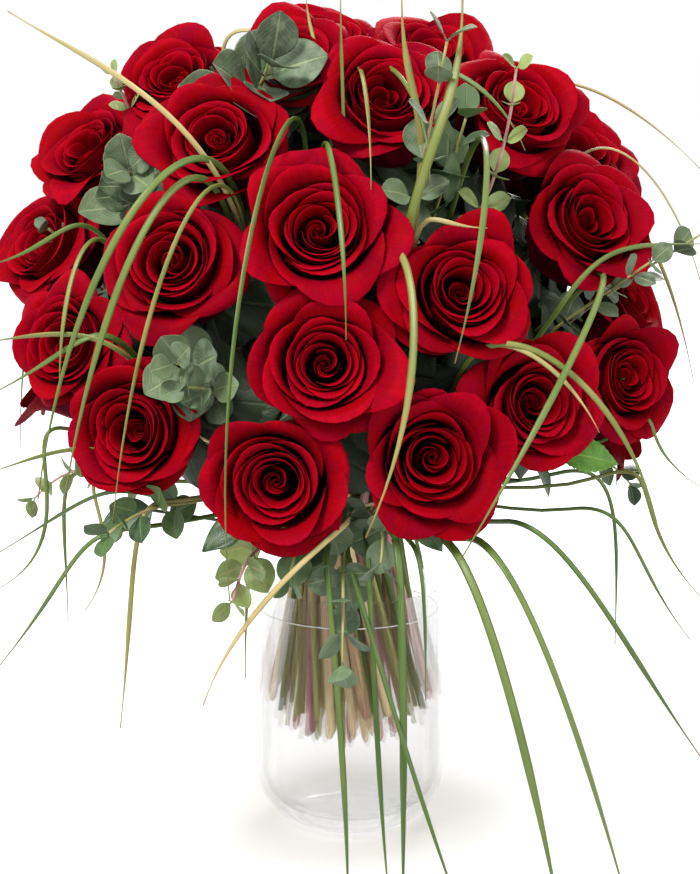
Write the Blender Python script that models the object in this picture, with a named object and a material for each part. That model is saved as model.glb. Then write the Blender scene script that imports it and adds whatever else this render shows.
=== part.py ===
import math

import bmesh
import bpy
import numpy as np

# Metres and degrees. Azimuth turns from the front (-Y) towards +X.
VASE_RADIUS = 0.060
VASE_HEIGHT = 0.157
VASE_WALL = 0.0028
VASE_BASE = 0.008
VASE_CORNER = 0.030
WATER_LEVEL = 0.140
GAP = 0.0003

DOME_CENTRE = np.array([-0.010, 0.0, 0.270])
DOME_SIZE = np.array([0.182, 0.172, 0.212])
DOME_SHOULDER = 0.06
AIM_POINT = np.array([-0.010, 0.030, 0.215])
HEAD_RADIUS = 0.0325
STEM_RADIUS = 0.003
FAN_POINT = np.array([-0.005, 0.0, 0.160])
FRONT = np.array([0, 1.0, 0])
NECK_HEIGHT = 0.188
NECK_PITCH = 0.0079
NECK_SLOTS = (1, 6, 12, 18, 24)
STEM_SPREAD = 4.0
STEM_TWIST = 7.5
STEM_FLOOR = (0.046, 0.050, 0.055, 0.063, 0.079)

# azimuth, elevation, size of each bloom
ROSES = (
    (-2, 30, 1.06), (-1, 13, 1.03), (23, 22, 1.03), (19, 0, 1.06), (-29, 26, 1.0),
    (-26, 45, 0.98), (-9, -4, 1.0), (-35, 2, 1.0), (34, 5, 0.98), (60, 31, 1.0),
    (-54, 13, 0.93), (65, 7, 0.93), (60, 52, 1.0), (13, 56, 1.0), (-68, 60, 0.95),
    (-84, 40, 0.93), (-82, 29, 0.95), (20, 88, 0.95), (66, 72, 0.98), (86, 42, 0.95),
    (95, 16, 0.95), (110, -5, 0.96), (144, 4, 0.98), (170, -3, 1.0), (-164, 3, 0.98),
    (-136, -3, 0.96), (-108, 4, 0.98), (120, 28, 1.0), (146, 32, 1.0), (178, 28, 1.0),
    (-148, 30, 1.0), (-114, 30, 0.98), (128, 60, 1.0), (176, 56, 1.0), (-128, 58, 0.98),
    (-13, 66, 0.93),
)

# azimuth, elevation, length outside the blooms, droop, leaf half width, leaf pairs
EUCALYPTUS = (
    (-57, 40, 0.042, 0.00, 0.0150, 3), (-41, 70, 0.042, 0.00, 0.0165, 3),
    (18, 38, 0.112, -0.45, 0.0105, 6), (34, 36, 0.112, -0.20, 0.0085, 6),
    (-25, 11, 0.042, 0.10, 0.0130, 3), (58, 19, 0.065, 0.05, 0.0100, 4),
    (2, -18, 0.070, 1.50, 0.0125, 4), (-15, -17, 0.045, 0.60, 0.0120, 3),
    (-32, -10, 0.060, 0.25, 0.0095, 4), (160, 14, 0.060, 0.20, 0.0115, 4),
    (-128, 16, 0.060, 0.20, 0.0115, 4),
)

# azimuth and elevation where it leaves the blooms, its tip, how far it runs straight, lift, pull at the tip
GRASS = (
    (13, 26, (0.058, -0.165, 0.507), 0.090, 0.6, (0.00, -0.01, -0.06)),
    (-20, 35, (-0.187, -0.110, 0.504), 0.090, 0.0, (0.05, -0.03, -0.03)),
    (47, 19, (0.204, -0.080, 0.376), 0.050, 0.5, (-0.05, 0.00, 0.00)),
    (20, -14, (0.110, -0.210, 0.047), 0.050, 0.1, (-0.02, 0.00, 0.09)),
    (25, -14, (0.147, -0.200, 0.043), 0.060, 0.2, (-0.03, 0.00, 0.09)),
    (11, -13, (0.025, -0.190, 0.035), 0.030, 0.0, (0.00, 0.00, 0.08)),
    (-34, -8, (-0.202, -0.120, 0.202), 0.050, 0.2, (0.05, 0.00, 0.03)),
    (-20, 39, (-0.169, -0.165, 0.243), 0.085, 0.35, (0.03, -0.05, 0.15)),
    (70, 55, (0.213, -0.020, 0.417), 0.050, 0.3, (-0.05, 0.00, 0.05)),
    (135, 16, (0.160, 0.180, 0.200), 0.070, 0.6, (0.00, -0.02, 0.10)),
    (-150, 14, (-0.120, 0.205, 0.190), 0.070, 0.6, (0.00, -0.02, 0.10)),
)

# how far along its axis, and how far out, each ring of a bloom's outline lies, for a radius of 1
BLOOM = ((-0.97, 0.085), (-0.84, 0.22), (-0.50, 0.66), (0.02, 0.985), (0.34, 0.91), (0.56, 0.66),
         (0.42, 0.36), (0.50, 0.12))
LEAF_SWELL = (0.5, 1.0, 0.75, 0.12)
LEAF_THICKNESS = 0.0013
SPRIG_RADIUS = 0.0015
BLADE_HALF_WIDTH = 0.0017
BLADE_HALF_THICKNESS = 0.0009
INSIDE_STEPS = 50
BLADE_STEPS = 30
DOOR_DEPTH = 0.97  # how far out on the dome a leaf stem or a blade comes out
SPRIG_SPARE = 0.0022  # clear space kept round a sprig
PAINT = {
    "vase": ((0.90, 0.94, 0.94), 0.0, 0.03), "water": ((0.80, 0.90, 0.92), 0.0, 0.02),
    "rose": ((0.46, 0.004, 0.016), 0.0, 0.55), "eucalyptus": ((0.16, 0.25, 0.17), 0.0, 0.60),
    "grass": ((0.18, 0.24, 0.05), 0.0, 0.45),
}


def unit(vectors):
    return vectors / np.linalg.norm(vectors, axis=-1, keepdims=True)


def heading(azimuth, elevation):
    a, e = math.radians(azimuth), math.radians(elevation)
    return np.array([math.cos(e) * math.sin(a), -math.cos(e) * math.cos(a), math.sin(e)])


def on_dome(ways):
    """Points on the dome, which is squarer at its shoulders than an ellipsoid."""
    level = ways[:, 2:] ** 2
    return DOME_CENTRE + ways * DOME_SIZE * (1 + 4 * DOME_SHOULDER * level * (1 - level))


def place_heads():
    """Spreads the blooms over the dome until none touches its neighbours."""
    ways = np.array([heading(a, e) for a, e, _ in ROSES])
    radii = HEAD_RADIUS * np.array([size for _, _, size in ROSES])
    reach = radii[:, None] + radii[None, :] + 2 * GAP
    for _ in range(400):
        spots = on_dome(ways)
        apart = spots[:, None] - spots[None, :]
        far = np.linalg.norm(apart, axis=2) + np.eye(len(ways))
        short = np.clip(reach - far, 0, None) * (1 - np.eye(len(ways)))
        ways = unit(ways + 0.3 * (apart / far[..., None] * short[..., None]).sum(1) / DOME_SIZE)
    spots = on_dome(ways)
    far = np.linalg.norm(spots[:, None] - spots[None, :], axis=2) + np.eye(len(ways))
    share = (radii[:, None] / (radii[:, None] + radii[None, :])) * (far - 2 * GAP)
    radii = np.minimum(radii, np.where(np.eye(len(ways)) > 0, 1, share).min(1))
    return spots, radii, unit(spots - AIM_POINT)


def neck_slots(ways):
    """One place per stem in the neck of the bunch: steep stems inside, flat ones outside."""
    slots = np.zeros((len(ways), 2))
    rings = np.zeros(len(ways), int)
    order = np.argsort(-ways[:, 2], kind="stable")
    start = 0
    for ring, count in enumerate(NECK_SLOTS):
        group = order[start:start + count]
        start += count
        if not len(group):
            break
        turn = np.arctan2(ways[group, 0], -ways[group, 1])
        ranked = group[np.argsort(turn, kind="stable")]
        turn = np.sort(turn)
        even = np.arange(len(group)) * 2 * math.pi / len(group)
        shift = math.atan2(np.sin(turn - even).sum(), np.cos(turn - even).sum())
        for place, item in enumerate(ranked):
            angle = even[place] + shift
            slots[item] = ring * NECK_PITCH * np.array([math.sin(angle), -math.cos(angle)])
            rings[item] = ring
    return slots, rings


def stem_foot(slot, ring):
    """Where a stem ends in the water, after the spread and twist below the neck."""
    drop = NECK_HEIGHT - STEM_FLOOR[ring]
    grow, twist = 1 + STEM_SPREAD * drop, STEM_TWIST * drop
    return np.array([grow * slot[0] - twist * slot[1], grow * slot[1] + twist * slot[0], STEM_FLOOR[ring]])


def bezier(points, count):
    t = np.linspace(0, 1, count)[:, None]
    a, b, c, d = points
    return (1 - t) ** 3 * a + 3 * t * (1 - t) ** 2 * b + 3 * t * t * (1 - t) * c + t ** 3 * d


def rise(slot, end, way, count):
    """The stem above the neck, leaving it upwards and arriving along the bloom's axis."""
    neck = np.array([slot[0], slot[1], NECK_HEIGHT])
    length = np.linalg.norm(end - neck)
    lift = unit(np.array([slot[0] * 9, slot[1] * 9, 1.0]))
    return bezier((neck, neck + lift * length * 0.25, end - way * length * 0.35, end), count)


def resample(path, count):
    steps = np.concatenate([[0], np.cumsum(np.linalg.norm(np.diff(path, axis=0), axis=1))])
    at = np.linspace(0, steps[-1], count)
    return np.stack([np.interp(at, steps, path[:, k]) for k in range(3)], 1)


def clear_vase(path, own):
    """Keeps a path over the rim, then outside the wall, and above the table."""
    across = np.linalg.norm(path[:, :2], axis=1)
    over = VASE_HEIGHT + own + 0.002
    low = path[:, 2] < over
    inside = low & (across < VASE_RADIUS - 0.012)
    path[inside, 2] = over
    wall = VASE_RADIUS + own + 0.002
    beside = low & ~inside & (across < wall)
    path[beside, :2] *= (wall / across[beside])[:, None]
    path[:, 2] = np.maximum(path[:, 2], 0.003 + own)


def steer(path, own, spots, sizes, leaf=0.0, spare=0.0012):
    """Moves all but the first point of a path out of everything already placed."""
    path = path.copy()
    for turn in range(90):
        apart = path[:, None] - spots[None, :]
        far = np.linalg.norm(apart, axis=2)
        short = np.clip(own + sizes[None, :] + spare - far, 0, None)
        worst = short.argmax(1)
        pick = np.arange(len(path))
        push = apart[pick, worst] / far[pick, worst][:, None] * short[pick, worst][:, None]
        push[:1] = 0
        path += push * 1.05
        clear_vase(path[1:], leaf or own)
        if turn < 70:
            path[1:-1] = 0.5 * path[1:-1] + 0.25 * (path[:-2] + path[2:])
    return path


def frames(path, up):
    """Two cross directions at each point of a path, carried along without spinning."""
    tangent = unit(np.gradient(path, axis=0))
    side = unit(np.cross(tangent[0], up))
    sides = []
    for along in tangent:
        side = unit(side - along * np.dot(side, along))
        sides.append(side)
    sides = np.array(sides)
    return sides, np.cross(tangent, sides)


def material(kind):
    found = bpy.data.materials.get(kind)
    if found:
        return found
    made = bpy.data.materials.new(kind)
    made.use_nodes = True
    shader = made.node_tree.nodes["Principled BSDF"]
    colour, metallic, roughness = PAINT[kind]
    shader.inputs["Base Color"].default_value = (*colour, 1)
    shader.inputs["Metallic"].default_value = metallic
    shader.inputs["Roughness"].default_value = roughness
    return made


def finish(mesh_data, name, kind):
    bmesh.ops.recalc_face_normals(mesh_data, faces=mesh_data.faces)
    mesh = bpy.data.meshes.new(name)
    mesh_data.to_mesh(mesh)
    mesh_data.free()
    made = bpy.data.objects.new(name, mesh)
    mesh.materials.append(material(kind))
    bpy.context.collection.objects.link(made)
    return made


def skin(name, kind, centres, xs, ys, sides=8):
    """A closed skin through rings: centres with two scaled cross directions each."""
    bm = bmesh.new()
    add_skin(bm, centres, xs, ys, sides)
    return finish(bm, name, kind)


def add_skin(bm, centres, xs, ys, sides):
    rows = []
    for centre, x, y in zip(centres, xs, ys):
        turn = [2 * math.pi * k / sides for k in range(sides)]
        rows.append([bm.verts.new(centre + math.cos(t) * x + math.sin(t) * y) for t in turn])
    for low, high in zip(rows, rows[1:]):
        for k in range(sides):
            bm.faces.new((low[k], low[k - 1], high[k - 1], high[k]))
    bm.faces.new(rows[0])
    bm.faces.new(rows[-1][::-1])


def lathe(name, kind, profile, steps=44):
    bm = bmesh.new()
    points = [bm.verts.new((r, 0, z)) for r, z in profile]
    edges = [bm.edges.new(pair) for pair in zip(points, points[1:])]
    bmesh.ops.spin(bm, geom=points + edges, cent=(0, 0, 0), axis=(0, 0, 1), dvec=(0, 0, 0),
                   angle=2 * math.pi, steps=steps, use_merge=True)
    bmesh.ops.remove_doubles(bm, verts=bm.verts, dist=1e-6)
    return finish(bm, name, kind)


def cup(radius, floor, corner, steps=5):
    """Half the outline of a straight glass with a rounded bottom, from the axis to the wall."""
    curve = [(radius - corner + corner * math.sin(a), floor + corner - corner * math.cos(a))
             for a in (math.pi / 2 * k / steps for k in range(steps + 1))]
    return [(0, floor)] + curve


def build_vase():
    inner = cup(VASE_RADIUS - VASE_WALL, VASE_BASE, VASE_CORNER - VASE_WALL)
    outer = cup(VASE_RADIUS, 0, VASE_CORNER)
    lip = VASE_WALL / 4
    rim = [(VASE_RADIUS, VASE_HEIGHT - lip), (VASE_RADIUS - lip, VASE_HEIGHT),
           (VASE_RADIUS - VASE_WALL + lip, VASE_HEIGHT), (VASE_RADIUS - VASE_WALL, VASE_HEIGHT - lip)]
    lathe("vase", "vase", outer + rim + inner[::-1])


def build_water(cutters):
    low = VASE_WALL + GAP
    body = cup(VASE_RADIUS - low, VASE_BASE + GAP, VASE_CORNER - low)
    water = lathe("water", "water", body + [(VASE_RADIUS - low, WATER_LEVEL), (0, WATER_LEVEL)])
    bm = bmesh.new()
    for path, radius in cutters:
        side, other = frames(path, FRONT)
        grown = path.copy()
        grown[0] += unit(path[0] - path[1]) * GAP * 1.3
        add_skin(bm, grown, side * radius, other * radius, 8)
    tool = finish(bm, "stem_cutter", "water")
    tool.hide_render = True
    tool.display_type = "WIRE"
    cut = water.modifiers.new("stems", "BOOLEAN")
    cut.operation, cut.solver, cut.object = "DIFFERENCE", "EXACT", tool


def build_rose(index, foot, top, head, radius, way):
    """Foot to neck, neck to calyx, then the bloom's rounded outline, as one skin."""
    path = np.concatenate([foot, top[1:]])
    side, other = frames(path, FRONT)
    centres = np.array([head + way * radius * up for up, _ in BLOOM])
    width = np.array([radius * out for _, out in BLOOM])[:, None]
    across = unit(side[-1] - way * np.dot(side[-1], way))
    skin(f"rose_{index + 1:02d}", "rose", np.concatenate([path, centres]),
         np.concatenate([side * STEM_RADIUS, across * width]),
         np.concatenate([other * STEM_RADIUS, np.cross(way, across) * width]))


def build_sprig(index, foot, path, leaf, pairs, bare, heads, radii):
    """A eucalyptus sprig: the stem swells into a flat pair of leaves, each turned a quarter."""
    stem = resample(path[:bare], 5)
    along = resample(path[bare - 1:], pairs * len(LEAF_SWELL) + 1)
    centres = np.concatenate([foot, stem[1:], along[1:]])
    side, other = frames(centres, FRONT)
    wide, deep = np.full(len(centres), SPRIG_RADIUS), np.full(len(centres), SPRIG_RADIUS)
    first = len(foot) + len(stem) - 1
    for k, point in enumerate(along[1:]):
        room = (np.linalg.norm(heads - point, axis=1) - radii).min() - 2 * GAP
        pair, step = divmod(k, len(LEAF_SWELL))
        size = leaf * (1 - 0.45 * k / len(along)) * LEAF_SWELL[step]
        flat = max(min(size, room), LEAF_THICKNESS)
        wide[first + k], deep[first + k] = (LEAF_THICKNESS, flat) if pair % 2 else (flat, LEAF_THICKNESS)
    skin(f"eucalyptus_{index + 1:02d}", "eucalyptus", centres, side * wide[:, None],
         other * deep[:, None], 6)


def build_blade(index, foot, path):
    centres = np.concatenate([foot, resample(path, 18)[1:]])
    side, other = frames(centres, FRONT)
    taper = np.linspace(1, 0.35, len(centres))[:, None]
    skin(f"grass_{index + 1:02d}", "grass", centres, side * BLADE_HALF_WIDTH * taper,
         other * BLADE_HALF_THICKNESS * taper, 4)


def outside_path(length, droop, start, count=26):
    """A curve that leaves the dome along its heading and arches over."""
    way = unit(start - AIM_POINT)
    pull = np.array([0, 0, -1.6 * droop])
    points = [start]
    for k in range(count):
        points.append(points[-1] + length / count * unit(way + pull * (k + 1) / count))
    return np.array(points)


def build_roses(slots, feet, spots, radii, ways):
    """All the roses; gives back the solids' places and sizes for later pieces to keep clear of."""
    tops, sizes = [], []
    for k, (slot, foot) in enumerate(zip(slots, feet)):
        calyx = spots[k] + ways[k] * radii[k] * BLOOM[0][0]
        straight = rise(slot, calyx, ways[k], 60)
        top = straight
        if tops:
            top = steer(straight, STEM_RADIUS, np.concatenate(tops), np.concatenate(sizes))
            top[-4:] = straight[-4:]
        tops.append(top)
        sizes.append(np.full(len(top), STEM_RADIUS))
        build_rose(k, foot, resample(top, 6), spots[k], radii[k], ways[k])
    return [spots] + tops, [radii] + sizes


def sprig_path(row, slot, door):
    way = unit(door - AIM_POINT)
    return rise(slot, door, way, INSIDE_STEPS), outside_path(row[2], row[3], door)


def blade_path(row, slot, door):
    _, _, tip, straight, lift, pull = row
    way = unit(unit(door - AIM_POINT) + np.array([0, 0, lift]))
    ends = (door, door + way * straight, np.add(tip, pull), np.array(tip))
    return rise(slot, door, way, INSIDE_STEPS), bezier(ends, BLADE_STEPS)


def build_greenery(slots, feet, doors, taken, sizes, spots, radii):
    """Sprigs first, then grass, each steered clear of everything before it."""
    for k, row in enumerate(EUCALYPTUS + GRASS):
        leafy = k < len(EUCALYPTUS)
        own, leaf = (SPRIG_RADIUS, row[4]) if leafy else (BLADE_HALF_WIDTH, 0)
        inside, outside = (sprig_path if leafy else blade_path)(row, slots[k], doors[k])
        path = np.concatenate([inside, outside[1:]])
        path = steer(path, own, np.concatenate(taken), np.concatenate(sizes), leaf, SPRIG_SPARE)
        beyond = np.arange(len(path)) > len(inside)
        taken.append(path)
        sizes.append(np.where(beyond, max(leaf * 0.8, own), own))
        if leafy:
            build_sprig(k, feet[k], path, leaf, row[5], len(inside) + 2, spots, radii)
        else:
            build_blade(k - len(EUCALYPTUS), feet[k], path)


def main():
    for old in list(bpy.data.objects):
        bpy.data.objects.remove(old)
    spots, radii, ways = place_heads()
    doors = np.array([DOME_CENTRE + heading(row[0], row[1]) * DOME_SIZE * DOOR_DEPTH
                      for row in EUCALYPTUS + GRASS])
    slots, rings = neck_slots(unit(np.concatenate([spots, doors]) - FAN_POINT))
    feet = [np.stack([stem_foot(slot, ring), [*slot, NECK_HEIGHT]]) for slot, ring in zip(slots, rings)]
    many = len(ROSES)
    taken, sizes = build_roses(slots[:many], feet[:many], spots, radii, ways)
    build_greenery(slots[many:], feet[many:], doors, taken, sizes, spots, radii)
    thick = [STEM_RADIUS] * many + [SPRIG_RADIUS] * len(EUCALYPTUS) + [BLADE_HALF_WIDTH] * len(GRASS)
    build_vase()
    build_water([(foot, own + GAP * 1.4) for foot, own in zip(feet, thick)])


main()
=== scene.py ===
import math
import random

import bmesh
import bpy
import numpy as np
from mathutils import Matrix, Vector


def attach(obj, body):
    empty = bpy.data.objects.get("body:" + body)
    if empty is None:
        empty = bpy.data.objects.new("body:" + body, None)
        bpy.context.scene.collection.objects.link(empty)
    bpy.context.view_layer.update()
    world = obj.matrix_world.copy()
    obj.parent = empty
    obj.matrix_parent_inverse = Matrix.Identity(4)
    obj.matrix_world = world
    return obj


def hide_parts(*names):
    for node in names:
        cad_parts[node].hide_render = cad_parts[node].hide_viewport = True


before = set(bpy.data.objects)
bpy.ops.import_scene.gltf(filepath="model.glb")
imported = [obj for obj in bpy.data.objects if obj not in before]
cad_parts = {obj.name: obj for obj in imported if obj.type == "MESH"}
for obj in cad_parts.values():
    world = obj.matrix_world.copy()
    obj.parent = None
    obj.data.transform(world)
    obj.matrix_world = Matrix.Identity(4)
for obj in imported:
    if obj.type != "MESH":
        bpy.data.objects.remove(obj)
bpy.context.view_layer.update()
print("frame loaded")


# shader wiring
class Value:
    # one socket, so that shader maths reads as ordinary arithmetic
    def __init__(self, paint, socket):
        self.paint, self.socket = paint, socket

    def __add__(self, other):
        return self.paint.maths("ADD", self, other)

    def __radd__(self, other):
        return self.paint.maths("ADD", other, self)

    def __sub__(self, other):
        return self.paint.maths("SUBTRACT", self, other)

    def __rsub__(self, other):
        return self.paint.maths("SUBTRACT", other, self)

    def __mul__(self, other):
        return self.paint.maths("MULTIPLY", self, other)


class Paint:
    # a material on one Principled shader; fixed numbers go straight on its sockets
    def __init__(self, name, fixed):
        self.material = bpy.data.materials.new(name)
        self.material.use_nodes = True
        self.tree = self.material.node_tree
        self.shader = self.tree.nodes["Principled BSDF"]
        for socket, value in fixed.items():
            self.shader.inputs[socket].default_value = value

    def node(self, kind, settings=None, sockets=None, output=0):
        made = self.tree.nodes.new(kind)
        for key, value in (settings or {}).items():
            setattr(made, key, value)
        for key, value in (sockets or {}).items():
            self.feed(made.inputs[key], value)
        return Value(self, made.outputs[output])

    def feed(self, socket, value):
        if isinstance(value, Value):
            self.tree.links.new(value.socket, socket)
        else:
            socket.default_value = value

    def maths(self, operation, a, b=0.0):
        return self.node("ShaderNodeMath", {"operation": operation}, {0: a, 1: b})

    def mix(self, factor, a, b):
        settings = {"data_type": "RGBA", "blend_type": "MIX", "clamp_factor": True}
        return self.node("ShaderNodeMix", settings, {0: factor, 6: a, 7: b}, 2)

    def smooth(self, value, low, high):
        settings = {"interpolation_type": "SMOOTHSTEP"}
        return self.node("ShaderNodeMapRange", settings, {0: value, 1: low, 2: high, 3: 0.0, 4: 1.0})

    def noise(self, place, scale, detail):
        settings = {"noise_dimensions": "3D", "noise_type": "FBM", "normalize": True}
        return self.node("ShaderNodeTexNoise", settings,
                         {"Vector": place, "Scale": scale, "Detail": detail, "Roughness": 0.55})

    def place(self, scale=(1, 1, 1)):
        coords = self.node("ShaderNodeTexCoord", output=3)
        return self.node("ShaderNodeMapping", {}, {"Vector": coords, "Scale": scale})

    def map(self, name, scale=(1, 1, 1)):
        # the piece's own UV map: across, along, and both scaled for a pattern
        found = self.node("ShaderNodeUVMap", {"uv_map": name})
        split = self.node("ShaderNodeSeparateXYZ", {}, {0: found})
        along = Value(self, split.socket.node.outputs[1])
        scaled = self.node("ShaderNodeMapping", {}, {"Vector": found, "Scale": scale})
        return split, along, scaled

    def finish(self, colour=None, rough=None, height=None, depth=0.0004, strength=0.6):
        if colour is not None:
            self.feed(self.shader.inputs["Base Color"], colour)
        if rough is not None:
            self.feed(self.shader.inputs["Roughness"], rough)
        if height is not None:
            sockets = {"Strength": strength, "Distance": depth, "Height": height}
            bump = self.node("ShaderNodeBump", {}, sockets)
            self.feed(self.shader.inputs["Normal"], bump)
        return self.material


# the bunch's plan
# azimuth turns from the front (-Y) towards +X, elevation from the widest ring to the top
plan = {
    "domeCentre": (-0.010, 0.0, 0.270), "domeSize": (0.182, 0.172, 0.212), "shoulder": 0.06,
    "aimPoint": (-0.010, 0.030, 0.215), "headRadius": 0.0325, "stemRadius": 0.003,
    "neckHeight": 0.188, "neckPitch": 0.0079, "neckSlots": (1, 6, 12, 18, 24),
    "stemSpread": 4.0, "stemTwist": 7.5, "stemFloor": (0.046, 0.050, 0.055, 0.063, 0.079),
    "spare": 0.0006, "rounds": 400, "push": 0.3, "doorDepth": 0.97, "goldenAngle": 137.5,
}
# azimuth, elevation, size of each bloom
roses = (
    (-2, 30, 1.06), (-1, 13, 1.03), (23, 22, 1.03), (19, 0, 1.06), (-29, 26, 1.0),
    (-26, 45, 0.98), (-9, -4, 1.0), (-35, 2, 1.0), (34, 5, 0.98), (60, 31, 1.0),
    (-54, 13, 0.93), (65, 7, 0.93), (60, 52, 1.0), (13, 56, 1.0), (-68, 60, 0.95),
    (-84, 40, 0.93), (-82, 29, 0.95), (20, 88, 0.95), (66, 72, 0.98), (86, 42, 0.95),
    (95, 16, 0.95), (110, -5, 0.96), (144, 4, 0.98), (170, -3, 1.0), (-164, 3, 0.98),
    (-136, -3, 0.96), (-108, 4, 0.98), (120, 28, 1.0), (146, 32, 1.0), (178, 28, 1.0),
    (-148, 30, 1.0), (-114, 30, 0.98), (128, 60, 1.0), (176, 56, 1.0), (-128, 58, 0.98),
    (-13, 66, 0.93),
)
domeCentre, domeSize, aimPoint = (np.array(plan[k]) for k in ("domeCentre", "domeSize", "aimPoint"))


def unit(vectors):
    return vectors / np.linalg.norm(vectors, axis=-1, keepdims=True)


def heading(azimuth, elevation):
    a, e = math.radians(azimuth), math.radians(elevation)
    return np.array([math.cos(e) * math.sin(a), -math.cos(e) * math.cos(a), math.sin(e)])


def ease(low, high, x):
    x = np.clip((x - low) / (high - low), 0, 1)
    return x * x * (3 - 2 * x)


def onDome(aims):
    # the dome is squarer at its shoulders than an ellipsoid
    level = aims[:, 2:] ** 2
    return domeCentre + aims * domeSize * (1 + 4 * plan["shoulder"] * level * (1 - level))


def placeHeads():
    # spreads the blooms over the dome until none crowds its neighbours, as in the frame
    ways = np.array([heading(a, e) for a, e, _ in roses])
    radii = plan["headRadius"] * np.array([size for _, _, size in roses])
    reach = radii[:, None] + radii[None, :] + plan["spare"]
    for _ in range(plan["rounds"]):
        spots = onDome(ways)
        apart = spots[:, None] - spots[None, :]
        far = np.linalg.norm(apart, axis=2) + np.eye(len(ways))
        short = np.clip(reach - far, 0, None) * (1 - np.eye(len(ways)))
        apart = (apart / far[..., None] * short[..., None]).sum(1)
        ways = unit(ways + plan["push"] * apart / domeSize)
    spots = onDome(ways)
    ways = unit(spots - aimPoint)
    forward = ease(-0.40, 0.50, -ways[:, 1:2])  # those in front and at the sides turn to the viewer
    return spots, radii, unit(ways + forward * np.array([0, -0.70, -0.08]))


spots, radii, ways = placeHeads()
print("blooms placed")


def linked(bm, name, material):
    mesh = bpy.data.meshes.new(name)
    bm.to_mesh(mesh)
    bm.free()
    mesh.shade_smooth()
    mesh.materials.append(material)
    made = bpy.data.objects.new(name, mesh)
    bpy.context.collection.objects.link(made)
    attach(made, "root")
    return made


def subdivided(piece):
    made = piece.modifiers.new("smooth", "SUBSURF")
    made.levels = made.render_levels = 1


def thickened(piece, depth):
    made = piece.modifiers.new("thickness", "SOLIDIFY")
    made.thickness, made.offset, made.use_even_offset = depth, 0.0, False


# rose blooms
bloom = {
    "petals": 31, "across": 6, "along": 9, "thickness": 0.00045, "scale": 1.23,
    "backFrom": 0.03, "backScale": 1.04,
    "bud": 0.24, "middle": 0.70,  # shares of the petals in the bud, and in the bud and the middle
    # deep is painted shade for the petal bases deep in the bloom, and also the veins' own darker colour
    "deep": (0.010, 0.0, 0.0004, 1), "crimson": (0.200, 0.0, 0.0014, 1),
    # rim is a painted highlight for the petal lips; plum is the petals' own darker tone
    "rim": (0.300, 0.0005, 0.0080, 1), "plum": (0.130, 0.0002, 0.0110, 1),
}


def petalPaint():
    paint = Paint("rosePetal", {"Sheen Weight": 0.045, "Sheen Roughness": 0.4,
                                "Sheen Tint": (1, 0.03, 0.10, 1), "Specular IOR Level": 0.015})
    _, along, veinPlace = paint.map("petal", (42, 3.5, 1))
    tone, layer, _ = paint.map("tone")
    veins = paint.noise(veinPlace, 1.0, 4.0)
    mottle = paint.noise(paint.place(), 95.0, 4.0)
    # painted shade: each petal's lower part, deep in the bloom, fades to the near-black deep colour
    body = paint.mix(paint.smooth(along, 0.44, 0.88), bloom["deep"], bloom["crimson"])
    # painted highlight: the lips are lightened to the rim colour, as light catches them
    body = paint.mix(paint.smooth(along, 0.93, 1.02) * 0.6, body, bloom["rim"])
    body = paint.mix(paint.smooth(mottle, 0.35, 0.75) * 0.5 * layer + tone * 0.25, body, bloom["plum"])
    # the veins take the same deep colour; that darkening is the petal's own pattern
    body = paint.mix(paint.smooth(veins, 0.35, 0.62) * 0.14, body, bloom["deep"])
    rough = 0.50 + mottle * 0.22
    return paint.finish(body, rough, veins + mottle * 0.8, 0.0006, 0.5)


petalMaterial = petalPaint()


def cupRadius(t):
    # how far from the axis a petal stands: a small bud, a hollow round it, the middle, then the outer ones
    if t < bloom["bud"]:
        return 0.035 + 0.52 * t
    if t < bloom["middle"]:
        return 0.255 + 0.66 * (t - bloom["bud"])
    return 0.590 + 0.40 * (t - bloom["middle"])


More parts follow.
